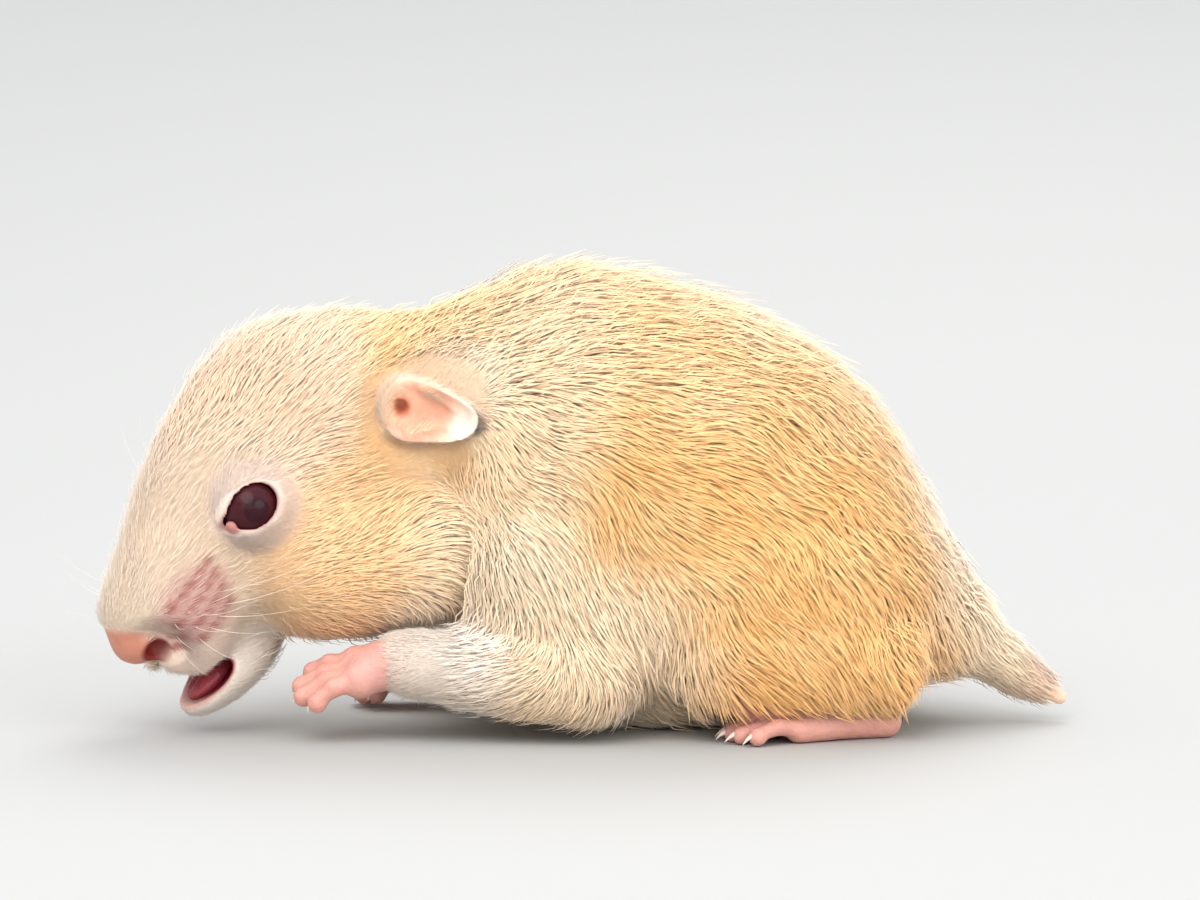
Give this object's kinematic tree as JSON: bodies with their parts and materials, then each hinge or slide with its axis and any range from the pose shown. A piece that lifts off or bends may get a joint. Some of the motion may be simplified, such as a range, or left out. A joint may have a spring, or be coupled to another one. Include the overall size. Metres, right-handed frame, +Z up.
{
  "type": "syrian hamster",
  "caption": "Life-size still model of a furry young Syrian hamster in a low crouch, its head turned to its left and its mouth a little open.",
  "frame": {"origin": "middle of the footprint, on the floor that the hamster rests on", "axes": "+X towards the tail, +Y towards the hamster's right side, +Z up"},
  "size_m": [0.0674, 0.027, 0.0322],
  "materials": {
    "fur": "soft, matte",
    "bare_skin": "satin",
    "ear_skin": "satin",
    "nose": "moist",
    "tongue": "moist",
    "eye": "wet gloss"
  },
  "bodies": {
    "root": {"head": "fur", "neck": "fur", "trunk": "fur", "tail": "fur", "lower_jaw": "fur", "forearm_left": "fur", "forearm_right": "fur", "upper_arm_left": "fur", "upper_arm_right": "fur", "thigh_left": "fur", "thigh_right": "fur", "forepaw_left": "bare_skin", "forepaw_right": "bare_skin", "hind_foot_left": "bare_skin", "hind_foot_right": "bare_skin", "ear_left": "ear_skin", "ear_right": "ear_skin", "nose": "nose", "tongue": "tongue", "eye_left": "eye", "eye_right": "eye"}
  },
  "joints": []
}
